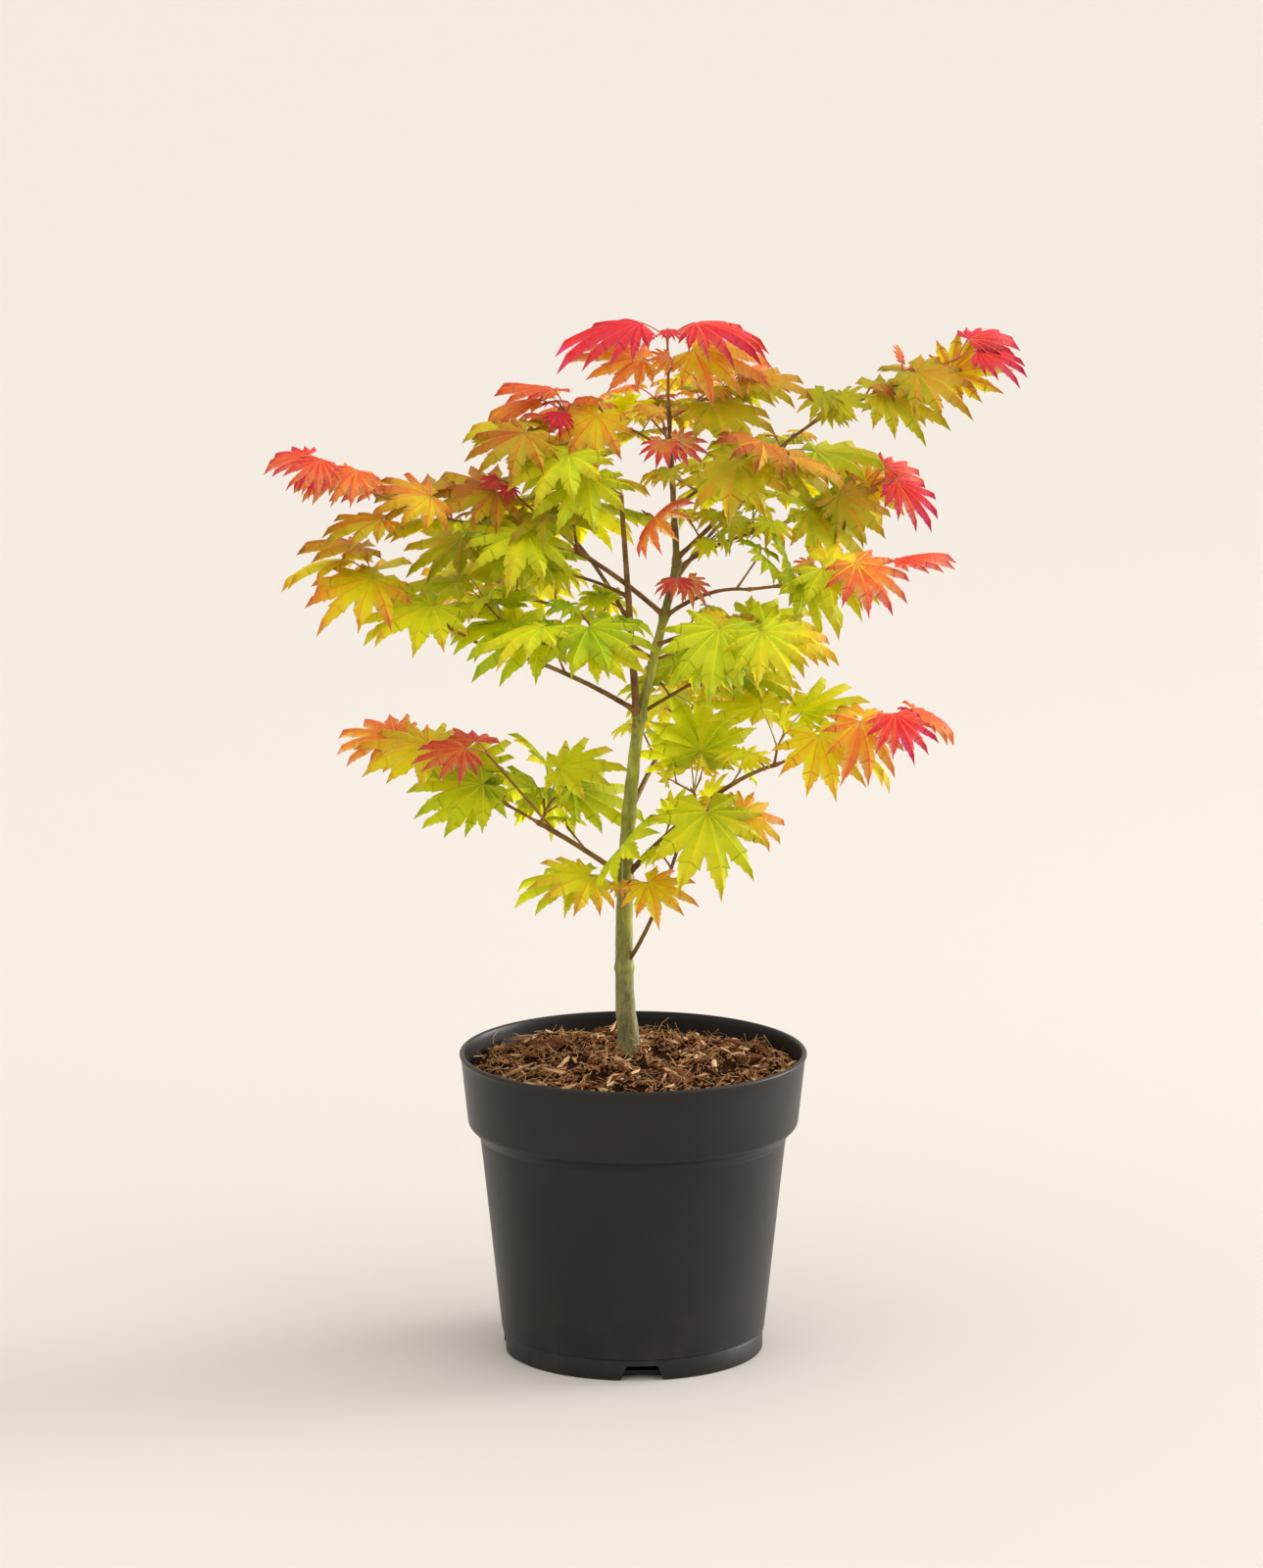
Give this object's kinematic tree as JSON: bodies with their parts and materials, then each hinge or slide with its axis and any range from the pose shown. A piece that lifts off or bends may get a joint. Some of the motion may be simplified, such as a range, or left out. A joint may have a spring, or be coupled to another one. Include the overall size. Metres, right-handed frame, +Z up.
{
  "type": "potted japanese maple",
  "caption": "Young full-moon maple with red, gold and green cut leaves on a slim forked trunk, growing in a round black plastic nursery pot.",
  "frame": {"origin": "centre of the pot's flat underside, on the surface it stands on", "axes": "+Z up, -Y towards the viewer's front, +X to the right of the front"},
  "size_m": [0.4105, 0.2775, 0.5682],
  "materials": {
    "pot_plastic": "moulded, softly satin",
    "potting_mix": "loose bark and fibre, damp",
    "trunk_bark": "young olive-grey bark with fine streaks",
    "bough_bark": "smooth red-brown young bark",
    "foliage": "thin soft leaves, green to gold to crimson"
  },
  "bodies": {
    "root": {"pot": "pot_plastic", "potting_mix": "potting_mix", "trunk": "trunk_bark", "leader": "trunk_bark", "leader_top": "trunk_bark", "left_stem": "bough_bark", "low_right_twig": "bough_bark", "low_right_bough": "bough_bark", "low_right_end": "bough_bark", "low_left_bough": "bough_bark", "low_back_bough": "bough_bark", "fork_twig": "bough_bark", "mid_left_bough": "bough_bark", "mid_front_bough": "bough_bark", "mid_back_bough": "bough_bark", "second_left_bough": "bough_bark", "back_left_bough": "bough_bark", "front_right_bough": "bough_bark", "upper_left_bough": "bough_bark", "right_bough": "bough_bark", "back_right_bough": "bough_bark", "second_right_bough": "bough_bark", "upper_right_bough": "bough_bark", "upper_right_end": "bough_bark", "front_top_bough": "bough_bark", "back_top_bough": "bough_bark", "top_left_bough": "bough_bark", "leaves_low_front": "foliage", "leaves_low_twig": "foliage", "leaves_low_right": "foliage", "leaves_low_right_up": "foliage", "leaves_low_right_end": "foliage", "leaves_low_left": "foliage", "leaves_low_left_end": "foliage", "leaves_low_left_up": "foliage", "leaves_low_back": "foliage", "leaves_fork": "foliage", "leaves_mid_left": "foliage", "leaves_mid_left_end": "foliage", "leaves_mid_front": "foliage", "leaves_mid_back": "foliage", "leaves_back_left": "foliage", "leaves_second_left": "foliage", "leaves_leader_right": "foliage", "leaves_front_right": "foliage", "leaves_upper_left": "foliage", "leaves_upper_left_up": "foliage", "leaves_upper_left_end": "foliage", "leaves_right": "foliage", "leaves_back_right": "foliage", "leaves_second_right": "foliage", "leaves_upper_right": "foliage", "leaves_upper_right_end": "foliage", "leaves_top": "foliage", "leaves_front_top": "foliage", "leaves_leader_mid": "foliage", "leaves_back_top": "foliage", "leaves_left_top": "foliage", "leaves_top_left": "foliage", "leaves_top_right": "foliage"}
  },
  "joints": []
}
